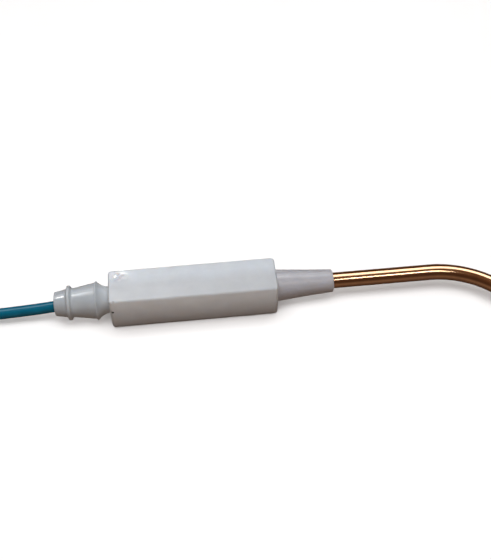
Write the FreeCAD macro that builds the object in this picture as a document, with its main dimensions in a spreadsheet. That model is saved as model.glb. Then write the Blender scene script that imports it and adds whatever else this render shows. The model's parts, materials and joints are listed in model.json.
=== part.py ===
import FreeCAD, Part

import math
import os

import Sketcher

# A copper-sheathed thermocouple with a square two-shell housing, a cable boot, a nose
# sleeve, and a lead that ends in a two-blade plug. Millimetres. The origin is the centre
# of the housing's underside: +X runs along the housing to the copper sheath, +Z is up.

Vector = FreeCAD.Vector
X_AXIS = Vector(1, 0, 0)
Z_AXIS = Vector(0, 0, 1)

# An edge this close to the plane where two halves meet belongs to the joint.
JOINT_TOLERANCE = 0.1
# A swept bar's volume may differ from its section times its length by this share.
VOLUME_TOLERANCE = 0.01
# The arc at a corner of the free cable takes this share of the shorter run beside it.
ARC_SHARE = 0.45

DIMENSIONS = {
    # housing: two half shells that meet in the vertical plane through the axis
    "housing_side": 15.2,
    "housing_length": 62.0,
    "housing_wall": 1.8,
    "housing_end_wall": 2.0,
    "housing_rounding": 0.8,
    "housing_corner_rounding": 1.4,
    "rib_thickness": 1.6,
    "neck_hole_radius": 4.2,
    "sheath_hole_radius": 3.1,
    "jacket_hole_radius": 2.6,
    "fit_gap": 0.1,
    "dowel_radius": 0.5,
    "dowel_height": 4.3,
    "dowel_length": 1.5,
    "vent_radius": 0.35,
    "vent_depth": 0.6,
    "vent_from_end": 0.9,
    "vent_height": 1.8,
    # the flanges that hold the boot and the sleeve inside the housing
    "flange_radius": 5.2,
    "flange_thickness": 1.4,
    "neck_radius": 4.15,
    # cable boot
    "boot_length": 20.15,
    "boot_waist_radius": 5.0,
    "boot_waist_width": 0.7,
    "boot_waist_curve": 4.6,
    "boot_skirt_radius": 6.85,
    "boot_skirt_width": 4.4,
    "boot_rim_radius": 7.25,
    "boot_rim_width": 0.7,
    "boot_rim_edge": 0.2,
    "boot_shoulder_radius": 5.3,
    "boot_shoulder_taper": 0.05,
    "boot_front_fillet": 0.4,
    "boot_back_fillet": 0.3,
    "boot_ring_radius": 6.5,
    "boot_ring_width": 1.5,
    "boot_ring_place": 14.8,
    "boot_end_radius": 4.45,
    "boot_end_rounding": 0.35,
    "boot_mouth_radius": 3.6,
    "boot_entry_length": 1.0,
    # nose sleeve
    "nose_length": 21.5,
    "nose_base_radius": 6.0,
    "nose_tip_radius": 4.3,
    "nose_rounding": 0.4,
    # copper sheath and what it holds
    "sheath_radius": 3.0,
    "sheath_wall": 0.5,
    "sheath_inner_end": 20.0,
    "bend_start": 89.7,
    "bend_radius": 36.0,
    "leg_length": 70.0,
    "spigot_length": 2.0,
    "collar_radius": 4.5,
    "collar_width": 2.0,
    "collar_chamfer": 0.3,
    "seal_length": 2.5,
    "seal_head_radius": 2.9,
    "seal_head_width": 0.8,
    "wire_radius": 0.3,
    "wire_offset": 0.9,
    "wire_spread_start": 8.0,
    "wire_spread_end": 15.0,
    "wire_bend_radius": 8.0,
    "bead_radius": 1.3,
    "bead_length": 1.5,
    "bead_from_centre": 5.5,
    # splices between the lead's cores and the thermocouple wires
    "splice_offset": 2.1,
    "barrel_radius": 1.2,
    "barrel_start": -6.0,
    "barrel_length": 10.0,
    "barrel_middle_gap": 0.1,
    "insulator_radius": 1.65,
    "insulator_overhang": 2.0,
    "divider_length": 28.0,
    "divider_thickness": 0.8,
    "divider_bite": 0.5,
    # cable
    "cable_radius": 2.1,
    "jacket_bore_radius": 1.45,
    "core_radius": 0.65,
    "core_offset": 0.72,
    "core_setback": 1.0,
    "core_spread_start": -18.0,
    "core_spread_end": -12.0,
    "core_bend_radius": 5.0,
    "core_strip_length": 1.0,
    "jacket_outer_end": -37.0,
    "jacket_inner_end": -19.3,
    "clamp_flange_radius": 4.0,
    "clamp_flange_width": 1.2,
    "clamp_barrel_radius": 3.0,
    "clamp_barrel_length": 5.0,
    "first_crimp": 2.2,
    "second_crimp": 3.6,
    "crimp_width": 0.7,
    "crimp_bevel": 0.2,
    "crimp_depth": 0.3,
    "coil_x": -118.0,
    "coil_y": -31.0,
    "coil_middle_radius": 25.2,
    "coil_half_width": 7.85,
    "coil_height": 8.4,
    "coil_rounding": 1.68,
    # plug, in its own frame: its blades point along its own X axis
    "plug_x": -144.1,
    "plug_y": -71.2,
    "plug_height": 4.0,
    "plug_start": 7.0,
    "plug_length": 19.0,
    "plug_width": 16.3,
    "plug_throat_width": 9.6,
    "plug_shoulder": 3.4,
    "plug_wall": 1.5,
    "plug_depth": 2.5,
    "plug_rounding": 0.7,
    "plug_bore_overrun": 0.5,
    "blade_spacing": 7.9,
    "blade_thickness": 0.8,
    "blade_reach": 12.0,
    "blade_bevel": 0.5,
    "blade_slot_overrun": 0.2,
    "blade_inner_end": 15.0,
    "positive_blade_width": 2.4,
    "negative_blade_width": 3.2,
    "pillar_width": 3.5,
    "pillar_start": 16.5,
    "terminal_place": 19.0,
    "terminal_screw_radius": 0.8,
    "terminal_head_radius": 1.8,
    "terminal_head_height": 0.9,
    "terminal_depth": 2.6,
    "terminal_wire_offset": 1.15,
    "cover_screw_place": 21.0,
    "cover_screw_radius": 0.9,
    "cover_head_radius": 1.7,
    "cover_head_height": 1.2,
    "cover_screw_depth": 3.0,
    "boss_radius": 2.0,
    "slot_width": 0.5,
    "slot_depth": 0.5,
    "grommet_outer_radius": 2.9,
    "grommet_inner_radius": 3.3,
    "grommet_neck_radius": 2.6,
    "grommet_flange_radius": 3.2,
    "grommet_flange_width": 1.2,
    "plug_jacket_end": 11.5,
    "plug_core_spread_start": 12.1,
    "plug_core_spread_end": 14.1,
    "plug_core_bend_radius": 1.2,
    "wire_past_screw": 1.6,
}

# The route of the free cable, corner by corner. The first list leaves the boot and comes
# down to the table; the second goes from the coil to the plug.
LEAD_ROUTE = [
    (-37.0, 0.0, 7.6),
    (-41.5, 0.0, 7.6),
    (-57.5, 0.0, 5.4),
    (-75.5, 0.0, 4.4),
    (-96.0, -0.1, 3.1),
    (-107.0, -0.2, 2.5),
]
TAIL_ROUTE = [
    (-148.3, -40.2, 6.1),
    (-147.6, -49.0, 5.4),
    (-144.1, -60.5, 4.0),
    (-144.1, -71.2, 4.0),
]

document = FreeCAD.newDocument("Thermocouple")
sheet = document.addObject("Spreadsheet::Sheet", "Dimensions")
parts = []


class Size:
    """A length with the sheet formula that gives it, so that a value and its binding agree."""

    def __init__(self, value, formula):
        self.value = value
        self.formula = formula

    def __add__(self, other):
        return self.joined("+", other, self.value + as_size(other).value)

    def __radd__(self, other):
        return as_size(other) + self

    def __sub__(self, other):
        return self.joined("-", other, self.value - as_size(other).value)

    def __rsub__(self, other):
        return as_size(other) - self

    def __mul__(self, other):
        return self.joined("*", other, self.value * as_size(other).value)

    def __rmul__(self, other):
        return as_size(other) * self

    def __truediv__(self, other):
        return self.joined("/", other, self.value / as_size(other).value)

    def __neg__(self):
        return as_size(0) - self

    def __abs__(self):
        return -self if self.value < 0 else self

    def joined(self, sign, other, value):
        return Size(value, f"({self.formula} {sign} {as_size(other).formula})")


def as_size(number):
    return number if isinstance(number, Size) else Size(float(number), str(float(number)))


def bind(item, prop, size):
    item.setExpression(prop, as_size(size).formula)


class Dimensions:
    """The sheet's cells by alias, each as a Size."""

    def __init__(self):
        for row, (alias, value) in enumerate(DIMENSIONS.items(), start=1):
            sheet.set(f"A{row}", alias.replace("_", " "))
            sheet.set(f"B{row}", str(value))
            sheet.setAlias(f"B{row}", alias)
            setattr(self, alias, Size(float(value), f"Dimensions.{alias}"))


d = Dimensions()
document.recompute()

axis_height = d.housing_side / 2
half_length = d.housing_length / 2
inner_face = half_length - d.housing_end_wall
cavity = d.housing_side / 2 - d.housing_wall
outer_rib = inner_face - d.flange_thickness - d.rib_thickness
clamp_rib = outer_rib - d.clamp_flange_width - d.rib_thickness
collar_rib = outer_rib - d.collar_width - d.rib_thickness
leg_x = d.bend_start + d.bend_radius
leg_end = d.bend_radius + d.leg_length
droop = (axis_height - d.sheath_radius) / leg_end
sheath_bore = d.sheath_radius - d.sheath_wall


# ---- document helpers ----

def new_body(label):
    body = document.addObject("PartDesign::Body", label)
    body.Label = label
    parts.append(body)
    return body


def on_axis(item):
    """Puts a piece that is modelled about the X axis at the housing's axis height."""
    bind(item, ".Placement.Base.z", axis_height)
    return item


def in_sheath_frame(item):
    """Also turns it about the axis, so that the sheath's bent leg comes down to the table."""
    item.Placement = FreeCAD.Placement(Vector(), FreeCAD.Rotation(X_AXIS, 1))
    item.setExpression(".Placement.Rotation.Angle", f"asin({droop.formula})")
    return on_axis(item)


def in_plug_frame(item):
    """Lays a piece of the plug on the table, with the blades pointing along -Y."""
    item.Placement = FreeCAD.Placement(Vector(), FreeCAD.Rotation(Z_AXIS, -90))
    bind(item, ".Placement.Base.x", d.plug_x)
    bind(item, ".Placement.Base.y", d.plug_y)
    bind(item, ".Placement.Base.z", d.plug_height)
    return item


def new_sketch(body, plane, height=None, across=None):
    """A sketch on one of the body's origin planes, moved off it by height and along it by across."""
    sketch = body.newObject("Sketcher::SketchObject", body.Label + "_sketch")
    faces = [item for item in body.Origin.OriginFeatures if item.Role == plane]
    sketch.AttachmentSupport = [(faces[0], "")]
    sketch.MapMode = "FlatFace"
    if height is not None:
        bind(sketch, ".AttachmentOffset.Base.z", height)
    if across is not None:
        bind(sketch, ".AttachmentOffset.Base.x", across)
    return sketch


def fix(sketch, kind, *place, size):
    index = sketch.addConstraint(Sketcher.Constraint(kind, *place, as_size(size).value))
    bind(sketch, f"Constraints[{index}]", size)


def arc_between(start, end, radius):
    """An arc from start to end, bulging to the left of the way there if radius is positive."""
    chord = end - start
    half = chord.Length / 2
    rise = abs(radius) - math.sqrt(max(radius * radius - half * half, 0.0))
    left = Vector(-chord.y, chord.x, 0).normalize()
    middle = (start + end) * 0.5 + left * math.copysign(rise, radius)
    if radius > 0:
        return Part.Arc(end, middle, start), 2, 1
    return Part.Arc(start, middle, end), 1, 2


def add_outline(sketch, corners):
    """A closed outline. A corner is (across, up), or (across, up, radius) with an arc to the next."""
    first = sketch.GeometryCount
    places = [Vector(as_size(c[0]).value, as_size(c[1]).value, 0) for c in corners]
    ends = []
    for index, corner in enumerate(corners):
        start = places[index]
        end = places[(index + 1) % len(corners)]
        if len(corner) == 3:
            curve, start_point, end_point = arc_between(start, end, as_size(corner[2]).value)
        else:
            curve, start_point, end_point = Part.LineSegment(start, end), 1, 2
        sketch.addGeometry(curve)
        ends.append((first + index, start_point, end_point))
    for index, (line, start_point, end_point) in enumerate(ends):
        following, next_start, _ = ends[(index + 1) % len(ends)]
        sketch.addConstraint(
            Sketcher.Constraint("Coincident", line, end_point, following, next_start)
        )
    for corner, (line, start_point, _) in zip(corners, ends):
        fix(sketch, "DistanceX", -1, 1, line, start_point, size=corner[0])
        fix(sketch, "DistanceY", -1, 1, line, start_point, size=corner[1])
        if len(corner) == 3:
            fix(sketch, "Radius", line, size=abs(as_size(corner[2])))


def add_rectangle(sketch, low_x, high_x, low_y, high_y):
    add_outline(sketch, [(low_x, low_y), (high_x, low_y), (high_x, high_y), (low_x, high_y)])


def add_circle(sketch, across, up, radius):
    centre = Vector(as_size(across).value, as_size(up).value, 0)
    circle = sketch.addGeometry(Part.Circle(centre, Z_AXIS, as_size(radius).value))
    fix(sketch, "DistanceX", -1, 1, circle, 3, size=across)
    fix(sketch, "DistanceY", -1, 1, circle, 3, size=up)
    fix(sketch, "Radius", circle, size=radius)


def add_feature(body, kind, sketch, **settings):
    feature = body.newObject("PartDesign::" + kind, f"{body.Label}_{kind.lower()}")
    feature.Profile = sketch
    for name, value in settings.items():
        if isinstance(value, Size):
            bind(feature, name, value)
        else:
            setattr(feature, name, value)
    return feature


def changed(body, feature, sign):
    """Recomputes the body, and stops if the feature added or removed nothing."""
    before = feature.BaseFeature.Shape.Volume if feature.BaseFeature else 0.0
    document.recompute()
    if sign * (feature.Shape.Volume - before) <= 0:
        raise ValueError(f"{feature.Label} changes nothing")
    return feature


def pad(body, sketch, length, backwards=False):
    return changed(body, add_feature(body, "Pad", sketch, Length=length, Reversed=backwards), 1)


def pocket(body, sketch, length, backwards=False):
    return changed(body, add_feature(body, "Pocket", sketch, Length=length, Reversed=backwards), -1)


def turned(label, corners):
    """A piece turned about the X axis from a half section of (x, radius) corners."""
    body = new_body(label)
    sketch = new_sketch(body, "XZ_Plane")
    add_outline(sketch, corners)
    axis = (sketch, ["H_Axis"])
    changed(body, add_feature(body, "Revolution", sketch, ReferenceAxis=axis, Angle=360), 1)
    return body


def bored(body, corners):
    """Cuts a turned space about the X axis from the body."""
    sketch = new_sketch(body, "XZ_Plane")
    add_outline(sketch, corners)
    axis = (sketch, ["H_Axis"])
    changed(body, add_feature(body, "Groove", sketch, ReferenceAxis=axis, Angle=360), -1)


def steps(spans):
    """The half section of a stepped bore: (start, end, radius) spans that follow each other."""
    corners = [(spans[0][0], 0)]
    for start, end, radius in spans:
        corners += [(start, radius), (end, radius)]
    return corners + [(spans[-1][1], 0)]


def rounded(body, radius, wanted):
    """Rounds those of the tip's edges that wanted() picks by their middle."""
    base = body.Tip
    names = []
    for number, edge in enumerate(base.Shape.Edges, start=1):
        if len(edge.Vertexes) == 2:
            ends = [vertex.Point for vertex in edge.Vertexes]
            if wanted((ends[0] + ends[1]) * 0.5):
                names.append(f"Edge{number}")
    fillet = body.newObject("PartDesign::Fillet", body.Label + "_rounding")
    fillet.Base = (base, names)
    bind(fillet, "Radius", radius)
    document.recompute()


def rounded_path(points, radii):
    """Straight runs through the points, with a tangent arc of the given radius at each corner."""
    edges = []
    start = points[0]
    for before, corner, after, radius in zip(points, points[1:], points[2:], radii):
        back = (before - corner).normalize()
        ahead = (after - corner).normalize()
        half_turn = (math.pi - back.getAngle(ahead)) / 2
        reach = radius * math.tan(half_turn)
        inward = (back + ahead).normalize() * (radius / math.cos(half_turn) - radius)
        entry = corner + back * reach
        leave = corner + ahead * reach
        edges.append(Part.LineSegment(start, entry).toShape())
        edges.append(Part.Arc(entry, corner + inward, leave).toShape())
        start = leave
    edges.append(Part.LineSegment(start, points[-1]).toShape())
    return Part.Wire(edges)


def swept(path, radius):
    """A round bar along a path."""
    first = path.Edges[0]
    start = first.valueAt(first.FirstParameter)
    heading = first.tangentAt(first.FirstParameter)
    ring = Part.Wire(Part.Circle(start, heading, radius).toShape())
    bar = path.makePipe(Part.Face(ring))
    section = math.pi * radius * radius
    if abs(bar.Volume / (section * path.Length) - 1) > VOLUME_TOLERANCE:
        raise ValueError("a swept bar's volume isn't its section times its length")
    return bar


def new_feature(label, shape, place):
    """A piece whose shape is made directly, from sizes read from the sheet."""
    feature = document.addObject("Part::Feature", label)
    feature.Label = label
    feature.Shape = shape
    parts.append(feature)
    return place(feature)


# ---- housing ----

def housing_shell(label, front):
    """One half of the square housing, with ribs that trap the boot, the clamp and the collar."""
    body = on_axis(new_body(label))
    half_side = d.housing_side / 2
    outer = new_sketch(body, "XZ_Plane")
    add_rectangle(outer, -half_length, half_length, -half_side, half_side)
    pad(body, outer, half_side, backwards=not front)
    near_end = half_length.value - JOINT_TOLERANCE
    near_side = half_side.value - JOINT_TOLERANCE
    rounded(body, d.housing_corner_rounding,
            lambda middle: abs(middle.x) > near_end and abs(middle.y) > near_side)
    rounded(body, d.housing_rounding,
            lambda middle: abs(middle.z) > near_side and abs(middle.y) > JOINT_TOLERANCE)

    bays = new_sketch(body, "XZ_Plane")
    for low, high in [
        (-inner_face, -inner_face + d.flange_thickness),
        (-outer_rib, -outer_rib + d.clamp_flange_width),
        (-clamp_rib, collar_rib),
        (outer_rib - d.collar_width, outer_rib),
        (inner_face - d.flange_thickness, inner_face),
    ]:
        add_rectangle(bays, low, high, -cavity, cavity)
    pocket(body, bays, cavity, backwards=front)

    groove = new_sketch(body, "XZ_Plane")
    groove_reach = d.divider_length / 2 + d.fit_gap
    groove_height = d.divider_thickness / 2 + d.fit_gap / 2
    add_rectangle(groove, -groove_reach, groove_reach, -groove_height, groove_height)
    pocket(body, groove, cavity + d.divider_bite + d.fit_gap, backwards=front)

    bored(body, steps([
        (-half_length, -inner_face, d.neck_hole_radius),
        (-inner_face, -outer_rib, d.jacket_hole_radius),
        (-outer_rib, inner_face, d.sheath_hole_radius),
        (inner_face, half_length, d.neck_hole_radius),
    ]))

    dowels = new_sketch(body, "XZ_Plane")
    dowel_x = inner_face - d.flange_thickness - d.rib_thickness / 2
    for along in (-dowel_x, dowel_x):
        for up in (-d.dowel_height, d.dowel_height):
            gap = d.fit_gap / 2 if front else 0
            add_circle(dowels, along, up, d.dowel_radius + gap)
    if front:
        pocket(body, dowels, d.dowel_length + d.fit_gap, backwards=True)
        vent = new_sketch(body, "XZ_Plane", height=half_side)
        add_circle(vent, -(half_length - d.vent_from_end), d.vent_height, d.vent_radius)
        pocket(body, vent, d.vent_depth)
    else:
        pad(body, dowels, d.dowel_length)


def cable_boot():
    """Flexible boot: inner flange, waist, skirt with a thin rim, cone with a ring, tapered end."""
    waist = -half_length
    skirt = waist - d.boot_skirt_width
    rim = skirt - d.boot_rim_width
    ring = waist - d.boot_ring_place
    half_ring = d.boot_ring_width / 2
    end = waist - d.boot_length
    ring_side = d.boot_ring_radius - half_ring
    edge = d.boot_rim_edge
    fillet = d.boot_front_fillet
    back_radius = d.boot_shoulder_radius - d.boot_shoulder_taper
    on_axis(turned("cable_boot", [
        (waist, d.boot_waist_radius),
        (waist - d.boot_waist_width, d.boot_waist_radius, d.boot_waist_curve),
        (skirt, d.boot_skirt_radius),
        (skirt - edge / 2, d.boot_rim_radius - edge, -edge),
        (skirt - edge / 2 - edge, d.boot_rim_radius),
        (rim + edge / 2, d.boot_rim_radius, -edge),
        (rim - edge / 2, d.boot_rim_radius - edge),
        (rim - edge / 2, d.boot_skirt_radius),
        (ring + half_ring + fillet, d.boot_shoulder_radius + d.boot_shoulder_taper, fillet),
        (ring + half_ring, d.boot_shoulder_radius + fillet),
        (ring + half_ring, ring_side, -half_ring),
        (ring, d.boot_ring_radius, -half_ring),
        (ring - half_ring, ring_side),
        (ring - half_ring, back_radius, d.boot_back_fillet),
        (ring - half_ring - d.boot_back_fillet, back_radius - d.boot_back_fillet),
        (end + d.boot_end_rounding, d.boot_end_radius, -d.boot_end_rounding),
        (end, d.boot_end_radius - d.boot_end_rounding),
        (end, d.boot_mouth_radius),
        (d.jacket_outer_end, d.cable_radius + d.fit_gap),
        (d.jacket_outer_end + d.boot_entry_length, d.cable_radius),
        (-inner_face + d.flange_thickness, d.cable_radius),
        (-inner_face + d.flange_thickness, d.flange_radius),
        (-inner_face, d.flange_radius),
        (-inner_face, d.neck_radius),
        (waist, d.neck_radius),
    ]))


def nose_sleeve():
    """Tapered sleeve round the sheath, held in the housing by its inner flange."""
    tip = half_length + d.nose_length
    on_axis(turned("nose_sleeve", [
        (half_length, d.nose_base_radius),
        (half_length, d.neck_radius),
        (inner_face, d.neck_radius),
        (inner_face, d.flange_radius),
        (inner_face - d.flange_thickness, d.flange_radius),
        (inner_face - d.flange_thickness, d.sheath_radius),
        (tip, d.sheath_radius),
        (tip, d.nose_tip_radius - d.nose_rounding, -d.nose_rounding),
        (tip - d.nose_rounding, d.nose_tip_radius),
    ]))


# ---- sheath ----

def sheath_path(start, end, offset=0.0):
    """The middle line of a piece that follows the sheath from x = start to y = -end."""
    corner = Vector(leg_x.value, 0, offset)
    points = [Vector(start, 0, offset), corner, Vector(leg_x.value, -end, offset)]
    return rounded_path(points, [d.bend_radius.value])


def thermoelement_path(side):
    """From the middle of the splice to the hot junction, spreading only inside the housing."""
    splice_side = side * d.splice_offset.value
    sheath_side = side * d.wire_offset.value
    middle = d.barrel_start.value + d.barrel_length.value / 2
    corner_x = leg_x.value
    points = [
        Vector(middle + d.barrel_middle_gap.value / 2, 0, splice_side),
        Vector(d.wire_spread_start.value, 0, splice_side),
        Vector(d.wire_spread_end.value, 0, sheath_side),
        Vector(corner_x, 0, sheath_side),
        Vector(corner_x, -(leg_end.value - d.bead_from_centre.value), sheath_side),
    ]
    small = d.wire_bend_radius.value
    return rounded_path(points, [small, small, d.bend_radius.value])


def hot_junction():
    """The welded bead, turned about the leg's axis, with its flat face towards the wires."""
    body = in_sheath_frame(new_body("hot_junction_bead"))
    sketch = new_sketch(body, "XY_Plane", across=leg_x)
    face = -(leg_end - d.bead_from_centre)
    shoulder = face - d.bead_length
    add_outline(sketch, [
        (0, face),
        (d.bead_radius, face),
        (d.bead_radius, shoulder, d.bead_radius),
        (0, shoulder - d.bead_radius),
    ])
    axis = (sketch, ["V_Axis"])
    changed(body, add_feature(body, "Revolution", sketch, ReferenceAxis=axis, Angle=360), 1)
    return body


def tip_cap():
    """The domed end of the sheath, with a spigot that fits in the tube."""
    body = in_sheath_frame(new_body("sheath_tip_cap"))
    sketch = new_sketch(body, "XY_Plane", across=leg_x)
    add_outline(sketch, [
        (0, -(leg_end - d.spigot_length)),
        (sheath_bore, -(leg_end - d.spigot_length)),
        (sheath_bore, -leg_end),
        (d.sheath_radius, -leg_end, d.sheath_radius),
        (0, -(leg_end + d.sheath_radius)),
    ])
    axis = (sketch, ["V_Axis"])
    changed(body, add_feature(body, "Revolution", sketch, ReferenceAxis=axis, Angle=360), 1)


def sheath():
    """The bent copper tube, the packed mineral powder and the two wires that meet in the bead."""
    start = d.sheath_inner_end.value
    whole = sheath_path(start, leg_end.value)
    tube = swept(whole, d.sheath_radius.value).cut(swept(whole, sheath_bore.value))
    new_feature("sheath_tube", tube, in_sheath_frame)
    tip_cap()
    bead = hot_junction()
    document.recompute()

    wires = {}
    for name, side in (("positive", 1), ("negative", -1)):
        wires[name] = swept(thermoelement_path(side), d.wire_radius.value)
    powder_end = leg_end.value - d.spigot_length.value
    powder_path = sheath_path(start + d.seal_length.value, powder_end)
    powder = swept(powder_path, sheath_bore.value)
    bead_shape = bead.Shape.copy()
    bead_shape.Placement = FreeCAD.Placement()
    powder = powder.cut([wires["positive"], wires["negative"], bead_shape])
    new_feature("mineral_insulation", powder, in_sheath_frame)
    for name, wire in wires.items():
        new_feature(name + "_thermoelement", wire, in_sheath_frame)


def seal_plug():
    """Potting plug that closes the sheath's open end round the two wires."""
    body = turned("sheath_seal_plug", [
        (d.sheath_inner_end - d.seal_head_width, 0),
        (d.sheath_inner_end - d.seal_head_width, d.seal_head_radius),
        (d.sheath_inner_end, d.seal_head_radius),
        (d.sheath_inner_end, sheath_bore),
        (d.sheath_inner_end + d.seal_length, sheath_bore),
        (d.sheath_inner_end + d.seal_length, 0),
    ])
    in_sheath_frame(body)
    holes = new_sketch(body, "YZ_Plane", height=d.sheath_inner_end - d.seal_head_width)
    for side in (-1, 1):
        add_circle(holes, 0, side * d.wire_offset, d.wire_radius)
    pocket(body, holes, d.seal_head_width + d.seal_length, backwards=True)


def sheath_collar():
    """Brass ring pressed on the sheath; two ribs of the housing hold it."""
    low = outer_rib - d.collar_width
    chamfer = d.collar_chamfer
    on_axis(turned("sheath_collar", [
        (low, d.sheath_radius),
        (low, d.collar_radius - chamfer),
        (low + chamfer, d.collar_radius),
        (outer_rib - chamfer, d.collar_radius),
        (outer_rib, d.collar_radius - chamfer),
        (outer_rib, d.sheath_radius),
    ]))


# ---- junction inside the housing ----

def tube_beside_axis(label, start, length, outer_radius, inner_radius, side):
    """A tube parallel to the axis, at one splice's height."""
    body = in_sheath_frame(new_body(label))
    sketch = new_sketch(body, "YZ_Plane", height=start)
    for radius in (outer_radius, inner_radius):
        add_circle(sketch, 0, side * d.splice_offset, radius)
    pad(body, sketch, length)


def splices():
    """A crimped barrel and its insulating sleeve on each pair of wires."""
    sleeve_start = d.barrel_start - d.insulator_overhang
    sleeve_length = d.barrel_length + 2 * d.insulator_overhang
    for name, side in (("positive", 1), ("negative", -1)):
        tube_beside_axis("splice_barrel_" + name, d.barrel_start, d.barrel_length,
                         d.barrel_radius, d.wire_radius, side)
        tube_beside_axis("splice_insulator_" + name, sleeve_start, sleeve_length,
                         d.insulator_radius, d.barrel_radius, side)


def junction_divider():
    """The insulating plate between the two splices, held in grooves of both shells."""
    body = on_axis(new_body("junction_divider"))
    sketch = new_sketch(body, "XY_Plane", height=-d.divider_thickness / 2)
    half = d.divider_length / 2
    reach = cavity + d.divider_bite
    add_rectangle(sketch, -half, half, -reach, reach)
    pad(body, sketch, d.divider_thickness)


# ---- cable ----

def core_path(side, end):
    """A core of the cable, from inside the boot to its splice."""
    near = side * d.core_offset.value
    far = side * d.splice_offset.value
    points = [
        Vector(d.jacket_outer_end.value + d.core_setback.value, 0, near),
        Vector(d.core_spread_start.value, 0, near),
        Vector(d.core_spread_end.value, 0, far),
        Vector(end, 0, far),
    ]
    return rounded_path(points, [d.core_bend_radius.value] * 2)


def housing_cable_end():
    """The jacket's end in the boot and the clamp, and the two cores that go to the splices."""
    in_sheath_frame(turned("cable_jacket_end", [
        (d.jacket_outer_end, d.jacket_bore_radius),
        (d.jacket_outer_end, d.cable_radius),
        (d.jacket_inner_end, d.cable_radius),
        (d.jacket_inner_end, d.jacket_bore_radius),
    ]))
    middle = d.barrel_start.value + d.barrel_length.value / 2
    strip = d.barrel_start.value - d.core_strip_length.value
    for name, side in (("positive", 1), ("negative", -1)):
        whole = core_path(side, middle - d.barrel_middle_gap.value / 2)
        conductor = swept(whole, d.wire_radius.value)
        covered = core_path(side, strip)
        insulation = swept(covered, d.core_radius.value).cut(
            swept(covered, d.wire_radius.value))
        new_feature("core_conductor_" + name, conductor, in_sheath_frame)
        new_feature("core_insulation_" + name, insulation, in_sheath_frame)


def cable_clamp():
    """Brass ferrule crimped on the jacket; its flange sits between two ribs."""
    flange_end = -outer_rib + d.clamp_flange_width
    barrel_end = flange_end + d.clamp_barrel_length
    crimp_radius = d.clamp_barrel_radius - d.crimp_depth
    corners = [
        (-outer_rib, d.cable_radius),
        (-outer_rib, d.clamp_flange_radius),
        (flange_end, d.clamp_flange_radius),
        (flange_end, d.clamp_barrel_radius),
    ]
    for place in (d.first_crimp, d.second_crimp):
        low = flange_end + place
        high = low + d.crimp_width
        corners += [
            (low, d.clamp_barrel_radius),
            (low + d.crimp_bevel, crimp_radius),
            (high - d.crimp_bevel, crimp_radius),
            (high, d.clamp_barrel_radius),
        ]
    corners += [(barrel_end, d.clamp_barrel_radius), (barrel_end, d.cable_radius)]
    on_axis(turned("cable_clamp", corners))


def route_path(name, route):
    """A cable route with arcs as large as its runs allow; prints their radii."""
    points = [Vector(*place) for place in route]
    radii = []
    for before, corner, after in zip(points, points[1:], points[2:]):
        run = min(before.distanceToPoint(corner), corner.distanceToPoint(after))
        turn = (corner - before).getAngle(after - corner)
        radii.append(ARC_SHARE * run / math.tan(turn / 2))
    print(name, "arc radii", [round(radius, 1) for radius in radii])
    return rounded_path(points, radii)


def free_cable():
    """The cable's tube down to the table, the coil's outer shape, and the tube to the plug."""
    coil = new_body("cable_coil")
    bind(coil, ".Placement.Base.x", d.coil_x)
    bind(coil, ".Placement.Base.y", d.coil_y)
    sketch = new_sketch(coil, "XZ_Plane")
    inner = d.coil_middle_radius - d.coil_half_width
    outer = d.coil_middle_radius + d.coil_half_width
    top = d.coil_height
    edge = d.coil_rounding
    add_outline(sketch, [
        (inner, edge, -edge),
        (inner + edge, 0),
        (outer - edge, 0, -edge),
        (outer, edge),
        (outer, top - edge, -edge),
        (outer - edge, top),
        (inner + edge, top, -edge),
        (inner, top - edge),
    ])
    axis = (sketch, ["V_Axis"])
    changed(coil, add_feature(coil, "Revolution", sketch, ReferenceAxis=axis, Angle=360), 1)
    for name, route in (("cable_run", LEAD_ROUTE), ("cable_tail", TAIL_ROUTE)):
        path = route_path(name, route)
        tube = swept(path, d.cable_radius.value).cut(coil.Shape)
        print(name, "length", round(path.Length, 2), "volume", round(tube.Volume, 1),
              "section times length", round(math.pi * d.cable_radius.value ** 2 * path.Length, 1))
        new_feature(name, tube, lambda feature: feature)


# ---- plug ----

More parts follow.
